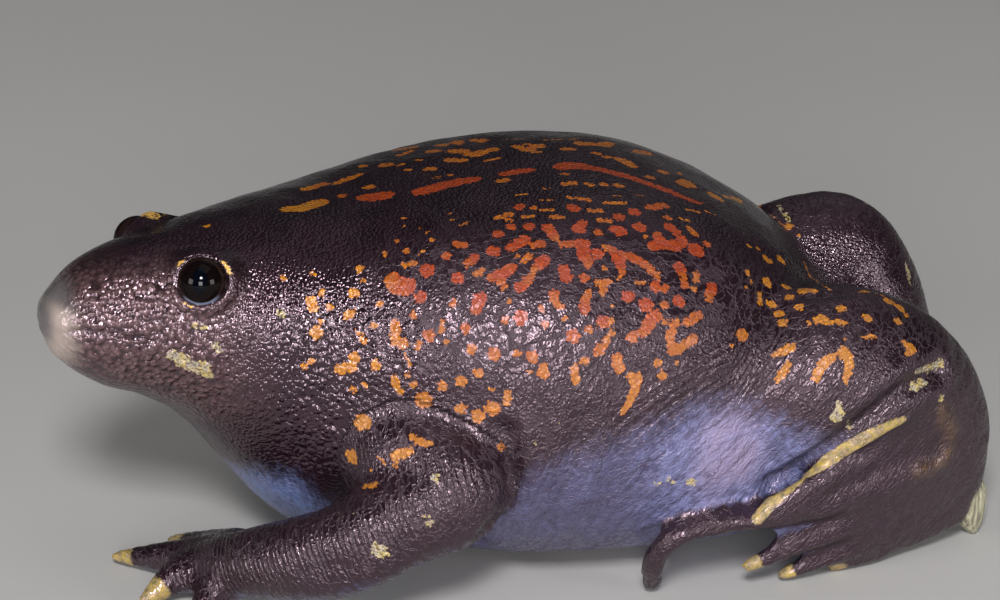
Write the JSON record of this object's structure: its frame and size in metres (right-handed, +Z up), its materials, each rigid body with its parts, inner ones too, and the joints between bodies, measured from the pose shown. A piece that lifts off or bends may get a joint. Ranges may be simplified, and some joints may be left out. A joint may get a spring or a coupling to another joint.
{
  "type": "mexican burrowing toad",
  "caption": "Life-size still model of a resting burrowing toad: rounded body, small pointed head, short limbs tucked at its sides.",
  "frame": {"origin": "on the floor, under the middle of the toad's bounding box", "axes": "the snout points along -X, +Y is towards the animal's right side, +Z is up"},
  "size_m": [0.0954, 0.0556, 0.0388],
  "materials": {
    "skin": "wet gloss",
    "eye": "polished",
    "horn": "satin, ridged"
  },
  "bodies": {
    "root": {"torso": "skin", "head": "skin", "upper_arm_left": "skin", "upper_arm_right": "skin", "forearm_left": "skin", "forearm_right": "skin", "hand_left": "skin", "hand_right": "skin", "thigh_left": "skin", "thigh_right": "skin", "shank_left": "skin", "shank_right": "skin", "foot_left": "skin", "foot_right": "skin", "eye_left": "eye", "eye_right": "eye", "spade_left": "horn", "spade_right": "horn"}
  },
  "joints": []
}
